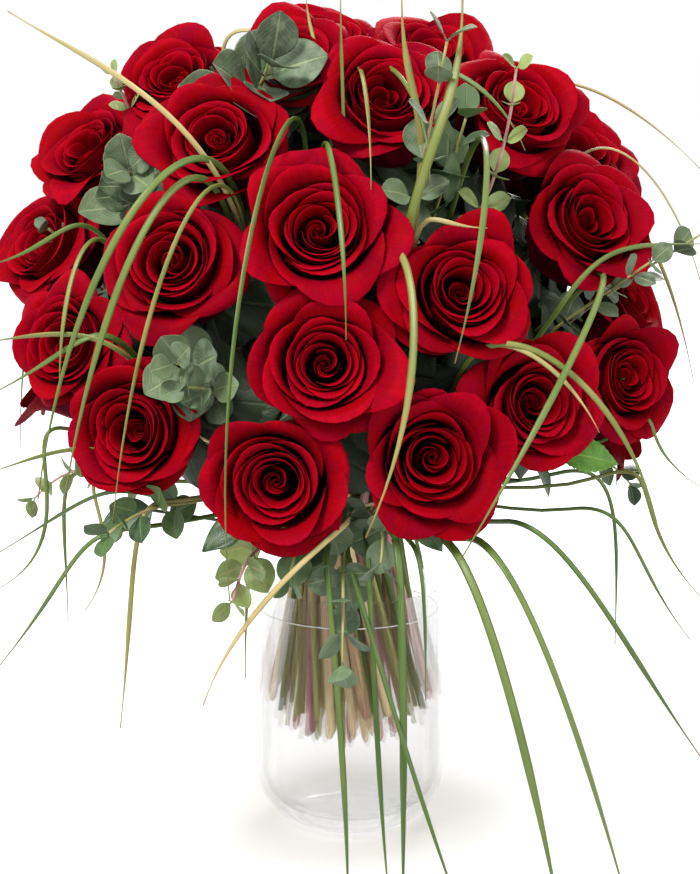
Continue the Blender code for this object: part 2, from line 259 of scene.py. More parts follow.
def petalShape(s, v, t, turn, rng, hollow):
    # one petal in a bloom of radius 1: s runs across from -1 to 1, v from the base to the lip
    outer, inner = float(ease(0.62, 0.86, t)), 1 - float(ease(0.12, 0.34, t))
    corner, tip = 0.15 + 0.15 * outer, (0.03 + 0.13 * t) * rng.uniform(0.1, 1.7)
    skew = rng.uniform(-0.35, 0.35) * (0.3 + t)
    q = v * (1 - corner * np.abs(s + skew * (1 - s * s)) ** 2.6 + tip * (1 - np.abs(s)) ** 1.6)
    bodyRadius = cupRadius(t) * rng.uniform(0.93, 1.07)
    height = 0.36 - 0.23 * hollow * inner - 0.30 * outer * t + rng.uniform(-0.05, 0.05) * (0.4 + t)
    base, bodyEnd = -0.80, 0.80 - 0.26 * outer
    p0, p1 = (0.09 + 0.05 * t, base), (bodyRadius * (1.0 + 0.30 * t), base + 0.12)
    p2, p3 = (bodyRadius * (0.90 + 0.07 * t), height - 0.36), (bodyRadius, height)
    w = np.clip(q / bodyEnd, 0, 1)
    parts = ((1 - w) ** 3, 3 * w * (1 - w) ** 2, 3 * w * w * (1 - w), w ** 3)
    radius, up = (sum(part * point[k] for part, point in zip(parts, (p0, p1, p2, p3))) for k in (0, 1))
    # past the cup the petal flares outwards, and its lip curls under, most at its shoulders
    start = math.atan2(p3[0] - p2[0], p3[1] - p2[1])
    flareLength = (0.09 + 0.07 * t + 0.36 * outer) * rng.uniform(0.85, 1.15)
    flare = math.radians(4 + 46 * t + 38 * outer) * rng.uniform(0.7, 1.25)
    curl = math.radians(20 + 85 * t) * (0.15 + 1.25 * np.abs(s) ** 1.8) * rng.uniform(0.5, 1.5)
    reach = np.clip((q - bodyEnd) / (1 - bodyEnd), 0, None)
    steps = (np.arange(12) + 0.5) / 12
    x = reach[:, None] * steps
    lean = start + flare * x + curl[:, None] * ease(0.55, 1.0, x)
    radius = radius + flareLength * reach * np.sin(lean).mean(1)
    up = up + flareLength * reach * np.cos(lean).mean(1)
    # ripples grow towards the lip, and one side tucks under the next petal
    wave = (0.006 + 0.036 * t + 0.040 * outer) * q ** 4
    up = up + wave * np.sin(s * rng.uniform(2.0, 5.5) + rng.uniform(0, 6.28))
    scroll = 0.03 + 0.05 * rng.uniform(-1, 2) + 0.55 * inner
    radius = radius * (1 + scroll * s) + wave * 0.8 * np.sin(s * rng.uniform(2, 5) + rng.uniform(0, 6.28))
    half = math.radians((84 + 44 * inner - 22 * outer) * rng.uniform(0.85, 1.15))
    angle = turn + s * half * (0.62 + 0.38 * np.sin(np.minimum(q, 1) * 2.2))
    points = np.stack([radius * np.cos(angle), radius * np.sin(angle), up], -1)
    # each petal stands a little off the axis and leans its own way, more and more towards its lip
    off, lean = rng.uniform(-0.045, 0.045) * (1 - inner * 0.7), rng.uniform(-0.08, 0.08) * (0.3 + t)
    points[:, 0] += off * math.sin(turn) * q
    points[:, 1] -= off * math.cos(turn) * q
    points[:, 2] += lean * (points[:, 0] * math.cos(turn) + points[:, 1] * math.sin(turn))
    return points, q


def makeBloom(index):
    rng = random.Random(400 + index)
    size, way = radii[index] * bloom["scale"], Vector(ways[index])
    if spots[index][1] > bloom["backFrom"]:
        size *= bloom["backScale"]
    turned = way.to_track_quat("Z", "Y").to_matrix().to_4x4()
    hollow = rng.uniform(0.6, 1.7)
    bm = bmesh.new()
    petalMap, toneMap = bm.loops.layers.uv.new("petal"), bm.loops.layers.uv.new("tone")
    across, along, count = bloom["across"], bloom["along"], bloom["petals"]
    start = rng.uniform(0, 6.28)
    for k in range(count):
        t = k / (count - 1)
        turn = start + math.radians(plan["goldenAngle"]) * k + rng.uniform(-0.32, 0.32)
        tone = rng.random()
        verts = bmesh.ops.create_grid(bm, x_segments=across, y_segments=along, size=1)["verts"]
        flat = np.array([v.co for v in verts])
        s, v = flat[:, 0], ((flat[:, 1] + 1) / 2) ** 0.85  # more rows near the lip
        points, q = petalShape(s, v, t, turn, rng, hollow)
        reach = {}
        for vert, point, side, high in zip(verts, points * size, s, q):
            vert.co = point
            reach[vert] = ((side + 1) / 2, high)
        for face in {face for vert in verts for face in vert.link_faces}:
            for loop in face.loops:
                loop[petalMap].uv = reach[loop.vert]
                loop[toneMap].uv = (tone, t)
    bmesh.ops.transform(bm, matrix=turned, verts=bm.verts)
    bmesh.ops.translate(bm, vec=Vector(spots[index]), verts=bm.verts)
    piece = linked(bm, f"bloom_{index + 1:02d}", petalMaterial)
    thickened(piece, bloom["thickness"])
    subdivided(piece)
    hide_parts(f"rose_{index + 1:02d}")


for index in range(len(roses)):
    makeBloom(index)
print("blooms made")


# stems
def neckSlots(aims):
    # one place per stem in the neck of the bunch: steep stems inside, flat ones outside
    slots, rings = np.zeros((len(aims), 2)), np.zeros(len(aims), int)
    order, start = np.argsort(-aims[:, 2], kind="stable"), 0
    for ring, count in enumerate(plan["neckSlots"]):
        group = order[start:start + count]
        start += count
        if not len(group):
            break
        turn = np.arctan2(aims[group, 0], -aims[group, 1])
        ranked, turn = group[np.argsort(turn, kind="stable")], np.sort(turn)
        even = np.arange(len(group)) * 2 * math.pi / len(group)
        shift = math.atan2(np.sin(turn - even).sum(), np.cos(turn - even).sum())
        for place, item in enumerate(ranked):
            angle = even[place] + shift
            slots[item] = ring * plan["neckPitch"] * np.array([math.sin(angle), -math.cos(angle)])
            rings[item] = ring
    return slots, rings


def stemFoot(slot, ring):
    # where a stem ends in the water, after the spread and the twist below the neck
    foot = plan["stemFloor"][ring]
    drop = plan["neckHeight"] - foot
    grow, twist = 1 + plan["stemSpread"] * drop, plan["stemTwist"] * drop
    return np.array([grow * slot[0] - twist * slot[1], grow * slot[1] + twist * slot[0], foot])


def bezier(points, count):
    t = np.linspace(0, 1, count)[:, None]
    a, b, c, d = points
    return (1 - t) ** 3 * a + 3 * t * (1 - t) ** 2 * b + 3 * t * t * (1 - t) * c + t ** 3 * d


def rise(slot, end, way, count):
    # the stem above the neck, leaving it upwards and arriving along the bloom's axis
    neck = np.array([slot[0], slot[1], plan["neckHeight"]])
    length = np.linalg.norm(end - neck)
    lift = unit(np.array([slot[0] * 9, slot[1] * 9, 1.0]))
    return bezier((neck, neck + lift * length * 0.25, end - way * length * 0.35, end), count)


def frames(path):
    # two cross directions at each point of a path, carried along without spinning
    tangent = unit(np.gradient(path, axis=0))
    side, sides = np.cross(tangent[0], (0, 1.0, 0)), []
    for along in tangent:
        side = unit(side - along * np.dot(side, along))
        sides.append(side)
    sides = np.array(sides)
    return sides, np.cross(tangent, sides), tangent


def tube(bm, path, wide, deep, sides, maps, tone, turn=None):
    # a grid wrapped round a path, its seam welded and its ends closed
    side, other, _ = frames(path)
    if turn is not None:
        c, n = np.cos(turn)[:, None], np.sin(turn)[:, None]
        side, other = side * c + other * n, other * c - side * n
    verts = bmesh.ops.create_grid(bm, x_segments=sides, y_segments=len(path) - 1, size=1)["verts"]
    flat = np.array([v.co for v in verts])
    step = np.rint((flat[:, 1] + 1) / 2 * (len(path) - 1)).astype(int)
    angle = (flat[:, 0] + 1) * math.pi
    wide, deep = np.broadcast_to(wide, len(path)), np.broadcast_to(deep, len(path))
    points = (path[step] + side[step] * (np.cos(angle) * wide[step])[:, None]
              + other[step] * (np.sin(angle) * deep[step])[:, None])
    places = {}
    for vert, point, x, y in zip(verts, points, flat[:, 0], flat[:, 1]):
        vert.co = point
        places[vert] = ((x + 1) / 2, (y + 1) / 2)
    faces = {face for vert in verts for face in vert.link_faces}
    for face in faces:
        for loop in face.loops:
            loop[maps[0]].uv = places[loop.vert]
            loop[maps[1]].uv = tone
    bmesh.ops.remove_doubles(bm, verts=verts, dist=1e-6)
    rims = [edge for edge in bm.edges if edge.is_boundary and edge.verts[0] in places]
    bmesh.ops.holes_fill(bm, edges=rims, sides=sides + 2)


def newPiece():
    bm = bmesh.new()
    return bm, (bm.loops.layers.uv.new("petal"), bm.loops.layers.uv.new("tone"))


def sheetShape(bm, maps, size, shape, tone):
    # a flat grid bent by a formula: shape takes s (-1 to 1) and v (0 to 1), and gives points
    verts = bmesh.ops.create_grid(bm, x_segments=size[0], y_segments=size[1], size=1)["verts"]
    flat = np.array([v.co for v in verts])
    s, v = flat[:, 0], (flat[:, 1] + 1) / 2
    places = {}
    for vert, point, x, y in zip(verts, shape(s, v), s, v):
        vert.co = point
        places[vert] = ((x + 1) / 2, y)
    for face in {face for vert in verts for face in vert.link_faces}:
        for loop in face.loops:
            loop[maps[0]].uv = places[loop.vert]
            loop[maps[1]].uv = tone


def leafShape(base, along, face, length, width, outline, droop, cup, ripple=0.0, phase=0.0):
    # outline gives the half width along the leaf; face is the way the upper side looks
    along = unit(along)
    side = unit(np.cross(along, face))
    face = np.cross(side, along)

    def shape(s, v):
        wide = outline(v) * width
        bend = droop * v
        forward = length * np.where(abs(droop) > 0.01, np.sin(bend) / (droop or 1), v)
        fall = length * np.where(abs(droop) > 0.01, (1 - np.cos(bend)) / (droop or 1), 0)
        up = cup * width * s * s * outline(v) - fall + ripple * np.sin(9 * v + phase + 2 * s) * np.abs(s)
        return base + forward[:, None] * along + (s * wide)[:, None] * side + up[:, None] * face
    return shape


def makeStemPaint(name, light, dark, blush):
    paint = Paint(name, {"Specular IOR Level": 0.4})
    _, _, fibre = paint.map("petal", (9, 5, 1))
    tone, _, _ = paint.map("tone")
    streak = paint.noise(fibre, 3.0, 4.0)
    patch = paint.noise(paint.place((1, 1, 0.35)), 60.0, 3.0)
    skin = paint.mix(paint.smooth(streak, 0.3, 0.7), dark, light)
    skin = paint.mix(paint.smooth(patch, 0.48, 0.66) * 0.8 * tone, skin, blush)
    return paint.finish(skin, 0.42 + patch * 0.25, streak + patch, 0.0005, 0.5)


stemPaints = (
    makeStemPaint("stemGreen", (0.33, 0.31, 0.10, 1), (0.15, 0.15, 0.045, 1), (0.36, 0.20, 0.15, 1)),
    makeStemPaint("stemPale", (0.72, 0.57, 0.34, 1), (0.38, 0.30, 0.15, 1), (0.46, 0.28, 0.22, 1)),
    makeStemPaint("stemMauve", (0.54, 0.29, 0.25, 1), (0.27, 0.14, 0.12, 1), (0.22, 0.07, 0.10, 1)),
    makeStemPaint("stemBrown", (0.45, 0.29, 0.15, 1), (0.20, 0.12, 0.06, 1), (0.22, 0.11, 0.08, 1)),
)
stemOrder = (1, 0, 2, 1, 3, 1, 2)  # which of those paints the stems take, in turn


def makeLeafPaint(name, young, old, vein, bloomTint, rough):
    paint = Paint(name, {"Specular IOR Level": 0.45})
    across, along, _ = paint.map("petal")
    tone, _, _ = paint.map("tone")
    middle = paint.maths("ABSOLUTE", across - 0.5)
    rib = 1 - paint.smooth(middle, 0.010, 0.045)
    slant = paint.maths("SINE", (along + middle * 0.8) * 62.0)
    side = paint.smooth(slant, 0.80, 1.0) * 0.5
    mottle = paint.noise(paint.place(), 130.0, 4.0)
    skin = paint.mix(paint.smooth(mottle + tone * 0.5, 0.45, 0.95), old, young)
    skin = paint.mix(paint.smooth(mottle, 0.42, 0.68) * bloomTint[3], skin, (*bloomTint[:3], 1))
    skin = paint.mix((rib + side) * 0.55, skin, vein)
    return paint.finish(skin, rough + mottle * 0.2, rib * -0.8 + side * -0.5 + mottle * 0.4, 0.0008, 0.6)


roseLeafPaint = makeLeafPaint("roseLeaf", (0.050, 0.100, 0.022, 1), (0.012, 0.034, 0.009, 1),
                              (0.10, 0.16, 0.05, 1), (0.03, 0.06, 0.03, 0.3), 0.34)
# painted shade: a much darker copy of the rose leaf paint, for the leaves inside the bunch where shade falls
shadedLeafPaint = makeLeafPaint("shadedLeaf", (0.022, 0.042, 0.012, 1), (0.006, 0.014, 0.004, 1),
                              (0.04, 0.07, 0.02, 1), (0.015, 0.03, 0.015, 0.3), 0.50)
freshLeafPaint = makeLeafPaint("freshLeaf", (0.105, 0.290, 0.022, 1), (0.055, 0.170, 0.012, 1),
                               (0.26, 0.42, 0.09, 1), (0.10, 0.20, 0.04, 0.2), 0.36)
gumLeafPaint = makeLeafPaint("gumLeaf", (0.072, 0.110, 0.045, 1), (0.030, 0.052, 0.024, 1),
                             (0.20, 0.24, 0.11, 1), (0.125, 0.160, 0.105, 0.60), 0.55)
gumYoungPaint = makeLeafPaint("gumYoung", (0.19, 0.25, 0.055, 1), (0.085, 0.135, 0.035, 1),
                              (0.36, 0.28, 0.10, 1), (0.20, 0.26, 0.15, 0.5), 0.50)
gumDarkPaint = makeLeafPaint("gumDark", (0.085, 0.135, 0.055, 1), (0.035, 0.065, 0.028, 1),
                             (0.18, 0.22, 0.10, 1), (0.14, 0.18, 0.13, 0.5), 0.48)

leafy = {"sepals": 5, "sepalLength": 0.026, "leavesPerStem": 5, "leafLength": 0.058, "leafWidth": 0.0200,
         "lowest": 0.42, "spacing": 0.13, "thickness": 0.0004}


def pointed(v):
    return np.sin(np.pi * np.clip(v, 0, 1) ** 0.8) ** 0.85 * (1 - 0.25 * v) + 0.02


def toothed(v):
    return pointed(v) * (0.90 + 0.16 * ((v * 11) % 1.0))


def rounded(v):
    return np.sqrt(np.clip(1 - (2 * v - 1) ** 2, 0, 1)) * 0.97 + 0.03


def makeStem(index, slot, ring):
    rng = random.Random(900 + index)
    way, size = ways[index], radii[index]
    calyx = spots[index] - way * size * 0.86
    foot, neck = stemFoot(slot, ring), np.array([slot[0], slot[1], plan["neckHeight"]])
    low = np.linspace(foot, neck, 8)
    high = rise(slot, calyx, way, 16)
    path = np.concatenate([low, high[1:]])
    bm, maps = newPiece()
    thick = plan["stemRadius"] * (1 + 0.05 * np.sin(np.arange(len(path)) * rng.uniform(1.4, 2.2)))
    thick = thick * rng.uniform(0.84, 1.02)
    thick[-1] *= 1.35
    tone = (rng.random(), rng.random())
    tube(bm, path, thick, thick, 10, maps, tone)
    hip = np.array([calyx + way * size * k for k in (-0.03, 0.04, 0.10, 0.17)])
    swell = size * np.array([0.09, 0.15, 0.18, 0.13])
    tube(bm, hip, swell, swell, 10, maps, tone)
    stem = linked(bm, f"stem_{index + 1:02d}", stemPaints[stemOrder[index * 3 % len(stemOrder)]])
    subdivided(stem)
    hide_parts(f"rose_{index + 1:02d}")
    bm, maps = newPiece()
    side, other, _ = frames(np.stack([calyx, calyx + way]))
    for k in range(leafy["sepals"]):
        a = k * 2 * math.pi / leafy["sepals"] + rng.uniform(-0.2, 0.2)
        out = side[0] * math.cos(a) + other[0] * math.sin(a)
        shape = leafShape(calyx + way * size * 0.12 + out * size * 0.13, out + way * 0.75, out - way * 1.2,
                          leafy["sepalLength"] * rng.uniform(0.8, 1.1), 0.0050, pointed,
                          rng.uniform(0.5, 1.9), 0.5)
        sheetShape(bm, maps, (4, 6), shape, (rng.random(), 0.5))
    for k in range(leafy["leavesPerStem"]):
        place = 7 + int((leafy["lowest"] + leafy["spacing"] * k) * 15)
        x, y, _ = path[place]
        out = unit(np.array([x - x * 0.2, y - y * 0.2, 0.03]))
        along = unit(out + np.array([rng.uniform(-1, 1), rng.uniform(-1, 1), rng.uniform(-0.1, 0.8)]) * 0.9)
        reach = rng.uniform(0.8, 1.15)
        shape = leafShape(path[place], along, np.array([rng.uniform(-.5, .5), rng.uniform(-.5, .5), 1.0]),
                          leafy["leafLength"] * reach, leafy["leafWidth"] * reach, pointed,
                          rng.uniform(0.2, 1.0), -0.35, 0.0010, rng.uniform(0, 6))
        sheetShape(bm, maps, (4, 7), shape, (rng.random(), 0.5))
    leaves = linked(bm, f"leaves_{index + 1:02d}", roseLeafPaint)
    thickened(leaves, leafy["thickness"])
    subdivided(leaves)


# azimuth, elevation, length outside the blooms, droop, leaf size, pairs, how the sprig is finished,
# and, on a few, which way its end is pushed
sprigs = (
    (-57, 40, 0.056, 0.00, 0.0155, 11, "round", (0.5, -1.2, -0.22)),
    (-37, 60, 0.058, 0.00, 0.0215, 8, "old", (0.8, -0.9, -0.1)),
    (18, 38, 0.112, -0.45, 0.0120, 7, "round"), (34, 36, 0.112, -0.20, 0.0090, 7, "young"),
    (-25, 11, 0.048, 0.10, 0.0135, 5, "round", (0, -0.4, 0)), (58, 19, 0.065, 0.05, 0.0095, 6, "round"),
    (2, -18, 0.070, 1.50, 0.0120, 6, "hanging"), (-15, -17, 0.045, 0.60, 0.0110, 5, "young"),
    (-32, -10, 0.060, 0.25, 0.0100, 6, "dark"), (160, 14, 0.060, 0.20, 0.0110, 5, "round"),
    (-128, 16, 0.060, 0.20, 0.0110, 5, "round"),
)
# more small sprigs with no place of their own in the frame
extraSprigs = (
    (-72, 50, 0.060, 0.00, 0.0065, 7, "young"), (-21, 8, 0.044, 0.10, 0.0105, 5, "hanging", (0.2, -0.4, 0)),
    (-78, 28, 0.030, 0.10, 0.0075, 4, "round"), (78, 20, 0.085, 0.05, 0.0105, 5, "round"),
    (30, 44, 0.045, 0.00, 0.0120, 4, "dark"),
    (130, 44, 0.050, 0.10, 0.0110, 5, "round"), (-160, 46, 0.050, 0.10, 0.0100, 5, "young"),
    (178, -14, 0.060, 0.90, 0.0110, 5, "round"), (110, -12, 0.050, 0.80, 0.0100, 5, "dark"),
    (-104, 48, 0.040, 0.10, 0.0100, 4, "round"), (-110, -14, 0.050, 0.80, 0.0100, 5, "young"),
    (9, -12, 0.030, 1.20, 0.0120, 3, "hanging"), (-6, -14, 0.030, 1.00, 0.0110, 3, "dark"),
)


def outsidePath(start, way, azimuth, length, droop, turn, count=26):
    turned = math.radians(azimuth)
    pull = 1.6 * np.array([math.cos(turned) * turn, math.sin(turned) * turn, -droop])
    points = [start]
    for k in range(count):
        points.append(points[-1] + length / count * unit(way + pull * (k + 1) / count))
    return np.array(points)


def makeSprig(name, row, slot, ring, node=None):
    azimuth, elevation, length, droop, leaf, pairs, finish, *facing = row
    rng = random.Random(int(azimuth * 31 + elevation * 7 + 5000))
    door = domeCentre + heading(azimuth, elevation) * domeSize * plan["doorDepth"]
    way = unit(unit(door - aimPoint) + np.array(facing[0] if facing else (0, 0, 0)))
    inside = rise(slot, door, way, 16)
    outside = outsidePath(door, way, azimuth, length, droop, rng.uniform(-0.3, 0.3))[::3]
    foot = stemFoot(slot, ring)
    path = np.concatenate([np.linspace(foot, inside[0], 6), inside[1:], outside[1:]])
    bm, maps = newPiece()
    thick = np.linspace(0.0016, 0.0007, len(path))
    tube(bm, path, thick, thick, 8, maps, (rng.random(), 0.3))
    stem = linked(bm, f"{name}_stem", stemPaints[2 if finish == "young" else 0])
    bm, maps = newPiece()
    side, other, tangent = frames(path)
    first = len(path) - len(outside) - 3
    for pair in range(pairs):
        share = pair / max(pairs - 1, 1)
        at = first + share * (len(path) - 1 - first)
        low = min(int(at), len(path) - 2)
        centre = path[low] + (path[low + 1] - path[low]) * (at - low)
        size = leaf * (1.1 - 0.45 * share) * rng.uniform(0.85, 1.12)
        for half in (0, math.pi):
            a = pair * math.pi / 2 + half + rng.uniform(-0.3, 0.3)
            out = side[low] * math.cos(a) + other[low] * math.sin(a)
            lean = 0.35 + 0.9 * share
            along = unit(out + tangent[low] * lean + np.array([0, 0, rng.uniform(-0.2, 0.2)]))
            face = unit(tangent[low] - out * 0.5 + np.array([rng.uniform(-.3, .3), rng.uniform(-.3, .3), 0]))
            shape = leafShape(centre + along * size * 0.25, along, face, size * 2.0,
                              size * rng.uniform(0.86, 1.05), rounded, rng.uniform(-0.3, 0.5),
                              rng.uniform(0.05, 0.30), size * 0.04, rng.uniform(0, 6))
            sheetShape(bm, maps, (5, 5), shape, (rng.random(), 0.5))
            tube(bm, np.array([centre, centre + along * size * 0.15, centre + along * size * 0.32]),
                 0.0005, 0.0005, 5, maps, (0.5, 0.5))
    kinds = {"round": gumLeafPaint, "old": gumLeafPaint, "young": gumYoungPaint, "dark": roseLeafPaint,
             "hanging": gumDarkPaint}
    leaves = linked(bm, f"{name}_leaves", kinds[finish])
    thickened(leaves, leafy["thickness"])
    subdivided(leaves)
    if node:
        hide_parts(node)
        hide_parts(node)


# grass
def makeGrassPaint(name, fresh, dry, gloss):
    paint = Paint(name, {"Specular IOR Level": 0.30})
    _, along, stripe = paint.map("petal", (16, 0.8, 1))
    tone, _, _ = paint.map("tone")
    lines = paint.noise(stripe, 1.6, 3.0)
    patch = paint.noise(paint.place(), 22.0, 3.0)
    blade = paint.mix(paint.smooth(patch + tone * 0.35, 0.45, 0.85), fresh, dry)
    blade = paint.mix(paint.smooth(along, 0.96, 1.0) * 0.8, blade, (0.20, 0.10, 0.035, 1))
    blade = paint.mix(paint.smooth(lines, 0.45, 0.65) * 0.25, blade, (0.22, 0.26, 0.09, 1))
    return paint.finish(blade, gloss + patch * 0.2, lines, 0.0003, 0.5)


grassPaints = {
    "green": makeGrassPaint("grassGreen", (0.040, 0.085, 0.012, 1), (0.085, 0.120, 0.022, 1), 0.30),
    "olive": makeGrassPaint("grassOlive", (0.090, 0.115, 0.018, 1), (0.190, 0.170, 0.045, 1), 0.32),
    "straw": makeGrassPaint("grassStraw", (0.230, 0.200, 0.070, 1), (0.340, 0.260, 0.110, 1), 0.36),
}
# door (azimuth, elevation), tip (x, y, z), how far it leaves, how steeply, pull at the tip, width, finish;
# the first ones stand for the frame's blades and reach down into the water, the others start at the neck
framed = 11
blades = (
    ((13, 26), (0.058, -0.165, 0.507), 0.090, 0.6, (0.00, -0.01, -0.06), 0.0054, "olive"),
    ((-20, 35), (-0.187, -0.110, 0.504), 0.090, 0.0, (0.05, -0.03, -0.03), 0.0036, "straw"),
    ((47, 19), (0.204, -0.080, 0.376), 0.050, 0.5, (-0.05, 0.00, 0.00), 0.0030, "green"),
    ((20, -14), (0.116, -0.212, 0.006), 0.050, 0.1, (-0.02, 0.00, 0.11), 0.0048, "green"),
    ((25, -14), (0.156, -0.205, 0.006), 0.060, 0.2, (-0.03, 0.00, 0.11), 0.0044, "green"),
    ((11, -13), (0.029, -0.194, 0.005), 0.030, 0.0, (0.00, 0.00, 0.10), 0.0044, "green"),
    ((-34, -8), (-0.202, -0.120, 0.202), 0.050, 0.2, (0.05, 0.00, 0.03), 0.0030, "green"),
    ((-20, 37), (-0.169, -0.165, 0.243), 0.085, 0.35, (0.03, -0.05, 0.15), 0.0038, "green"),
    ((70, 55), (0.213, -0.020, 0.417), 0.050, 0.3, (-0.05, 0.00, 0.05), 0.0018, "straw"),
    ((135, 16), (0.160, 0.180, 0.200), 0.070, 0.6, (0.00, -0.02, 0.10), 0.0030, "green"),
    ((-150, 14), (-0.120, 0.205, 0.190), 0.070, 0.6, (0.00, -0.02, 0.10), 0.0030, "olive"),
    ((10, 25), (0.008, -0.225, 0.235), 0.060, 0.9, (0.045, 0.00, 0.10), 0.0042, "olive"),
    ((3, -10), (-0.079, -0.190, 0.135), 0.035, 0.0, (0.02, 0.00, 0.06), 0.0032, "straw"),
    ((19, 38), (0.027, -0.155, 0.508), 0.060, 0.9, (0.00, 0.00, -0.05), 0.0038, "olive"),
    ((3, 44), (-0.005, -0.130, 0.510), 0.030, 1.5, (0.00, 0.00, -0.04), 0.0026, "green"),
    ((-1, 59), (-0.025, -0.060, 0.516), 0.020, 1.2, (0.00, 0.00, -0.02), 0.0024, "olive"),
    ((9, 66), (0.011, -0.170, 0.409), 0.030, 0.2, (0.00, 0.01, 0.06), 0.0032, "olive"),
    ((14, 66), (0.042, -0.165, 0.411), 0.030, 0.2, (0.00, 0.01, 0.06), 0.0028, "green"),
    ((22, 64), (0.097, -0.110, 0.429), 0.030, 0.3, (-0.02, 0.01, 0.05), 0.0028, "green"),
    ((-22, 35), (-0.156, -0.165, 0.236), 0.080, 0.3, (0.03, -0.04, 0.14), 0.0038, "green"),
    ((-7, 49), (-0.062, -0.220, 0.201), 0.070, 0.3, (-0.01, -0.02, 0.16), 0.0036, "green"),
    ((-2, 44), (-0.002, -0.215, 0.335), 0.050, 0.3, (0.00, -0.01, 0.07), 0.0032, "green"),
    ((15, 26), (0.072, -0.170, 0.389), 0.050, 1.2, (-0.03, 0.00, 0.00), 0.0028, "straw"),
    ((34, 44), (0.053, -0.215, 0.323), 0.060, 0.2, (0.02, -0.01, 0.08), 0.0036, "green"),
    ((57, 22), (0.057, -0.215, 0.221), 0.060, 0.2, (0.05, -0.01, 0.09), 0.0036, "green"),
    ((23, 11), (0.168, -0.170, 0.222), 0.060, 0.6, (-0.02, 0.00, 0.09), 0.0034, "olive"),
    ((24, 12), (0.132, -0.180, 0.282), 0.040, 0.5, (-0.02, 0.00, 0.04), 0.0026, "straw"),
    ((32, -12), (0.200, -0.150, 0.089), 0.060, 0.2, (-0.05, 0.00, 0.07), 0.0030, "green"),
    ((-1, -15), (-0.001, -0.184, 0.005), 0.030, 0.0, (0.00, 0.00, 0.10), 0.0036, "green"),
    ((6, -14), (0.023, -0.174, 0.004), 0.030, 0.0, (-0.01, 0.00, 0.10), 0.0030, "green"),
    ((14, -14), (0.042, -0.160, 0.128), 0.030, 0.0, (0.00, 0.00, 0.05), 0.0028, "green"),
    ((3, -16), (0.066, -0.205, 0.006), 0.020, 0.0, (-0.03, 0.00, 0.08), 0.0032, "green"),
    ((-40, -14), (-0.207, -0.110, 0.130), 0.050, 0.1, (0.05, 0.00, 0.06), 0.0028, "green"),
    ((-32, -9), (-0.128, -0.160, 0.112), 0.030, 0.0, (0.01, 0.00, 0.08), 0.0028, "olive"),
    ((-47, 27), (-0.158, -0.150, 0.298), 0.050, 0.6, (0.00, 0.00, 0.05), 0.0028, "olive"),
    ((-58, 0), (-0.211, -0.080, 0.171), 0.040, 0.0, (0.06, 0.00, 0.03), 0.0024, "green"),
    ((-45, -6), (-0.152, -0.120, 0.169), 0.030, 0.0, (0.03, 0.00, 0.04), 0.0024, "olive"),
    ((-51, 29), (-0.209, -0.090, 0.364), 0.045, 0.2, (0.05, -0.03, 0.01), 0.0028, "green"),
    ((-60, 66), (0.000, -0.060, 0.480), 0.050, 0.9, (-0.06, 0.00, 0.02), 0.0024, "straw"),
    ((74, 40), (0.216, -0.020, 0.345), 0.060, 0.6, (-0.02, 0.00, 0.07), 0.0018, "straw"),
    ((66, -2), (0.207, -0.090, 0.234), 0.050, 0.4, (-0.05, 0.00, 0.03), 0.0024, "green"),
    ((60, -8), (0.207, -0.100, 0.170), 0.050, 0.3, (-0.05, 0.00, 0.05), 0.0024, "olive"),
    ((50, -12), (0.204, -0.080, 0.140), 0.050, 0.2, (-0.04, 0.00, 0.05), 0.0022, "green"),
    ((-36, 11), (-0.208, -0.110, 0.322), 0.045, 0.25, (0.05, -0.03, 0.01), 0.0040, "olive"),
    ((-38, 13), (-0.206, -0.120, 0.292), 0.045, 0.25, (0.06, -0.03, 0.03), 0.0036, "green"),
    ((-19, 35), (-0.128, -0.175, 0.227), 0.070, 0.4, (0.02, -0.04, 0.14), 0.0026, "olive"),
    ((-40, -2), (-0.205, -0.130, 0.250), 0.040, 0.0, (0.05, -0.02, 0.02), 0.0034, "olive"),
    ((90, 30), (0.226, 0.050, 0.280), 0.045, 0.8, (-0.02, 0.00, 0.09), 0.0024, "olive"),
    ((112, 40), (0.205, 0.140, 0.230), 0.050, 0.7, (0.00, 0.00, 0.12), 0.0028, "green"),
    ((160, 42), (0.080, 0.205, 0.220), 0.050, 0.8, (0.00, -0.02, 0.12), 0.0028, "green"),
    ((-176, 22), (-0.010, 0.208, 0.150), 0.045, 0.6, (0.00, -0.02, 0.10), 0.0032, "olive"),
    ((-130, 40), (-0.200, 0.150, 0.260), 0.050, 0.8, (0.00, 0.00, 0.10), 0.0026, "straw"),
    ((-104, 24), (-0.220, 0.060, 0.230), 0.035, 0.7, (0.00, 0.00, 0.10), 0.0026, "green"),
    ((172, -18), (0.060, 0.205, 0.060), 0.050, 0.2, (0.00, -0.02, 0.09), 0.0034, "green"),
    ((-166, -20), (-0.080, 0.200, 0.030), 0.050, 0.2, (0.00, -0.02, 0.09), 0.0032, "olive"),
    ((120, -16), (0.190, 0.120, 0.080), 0.050, 0.2, (0.00, 0.00, 0.09), 0.0028, "green"),
    ((-120, -16), (-0.200, 0.110, 0.100), 0.050, 0.2, (0.00, 0.00, 0.09), 0.0028, "green"),
)


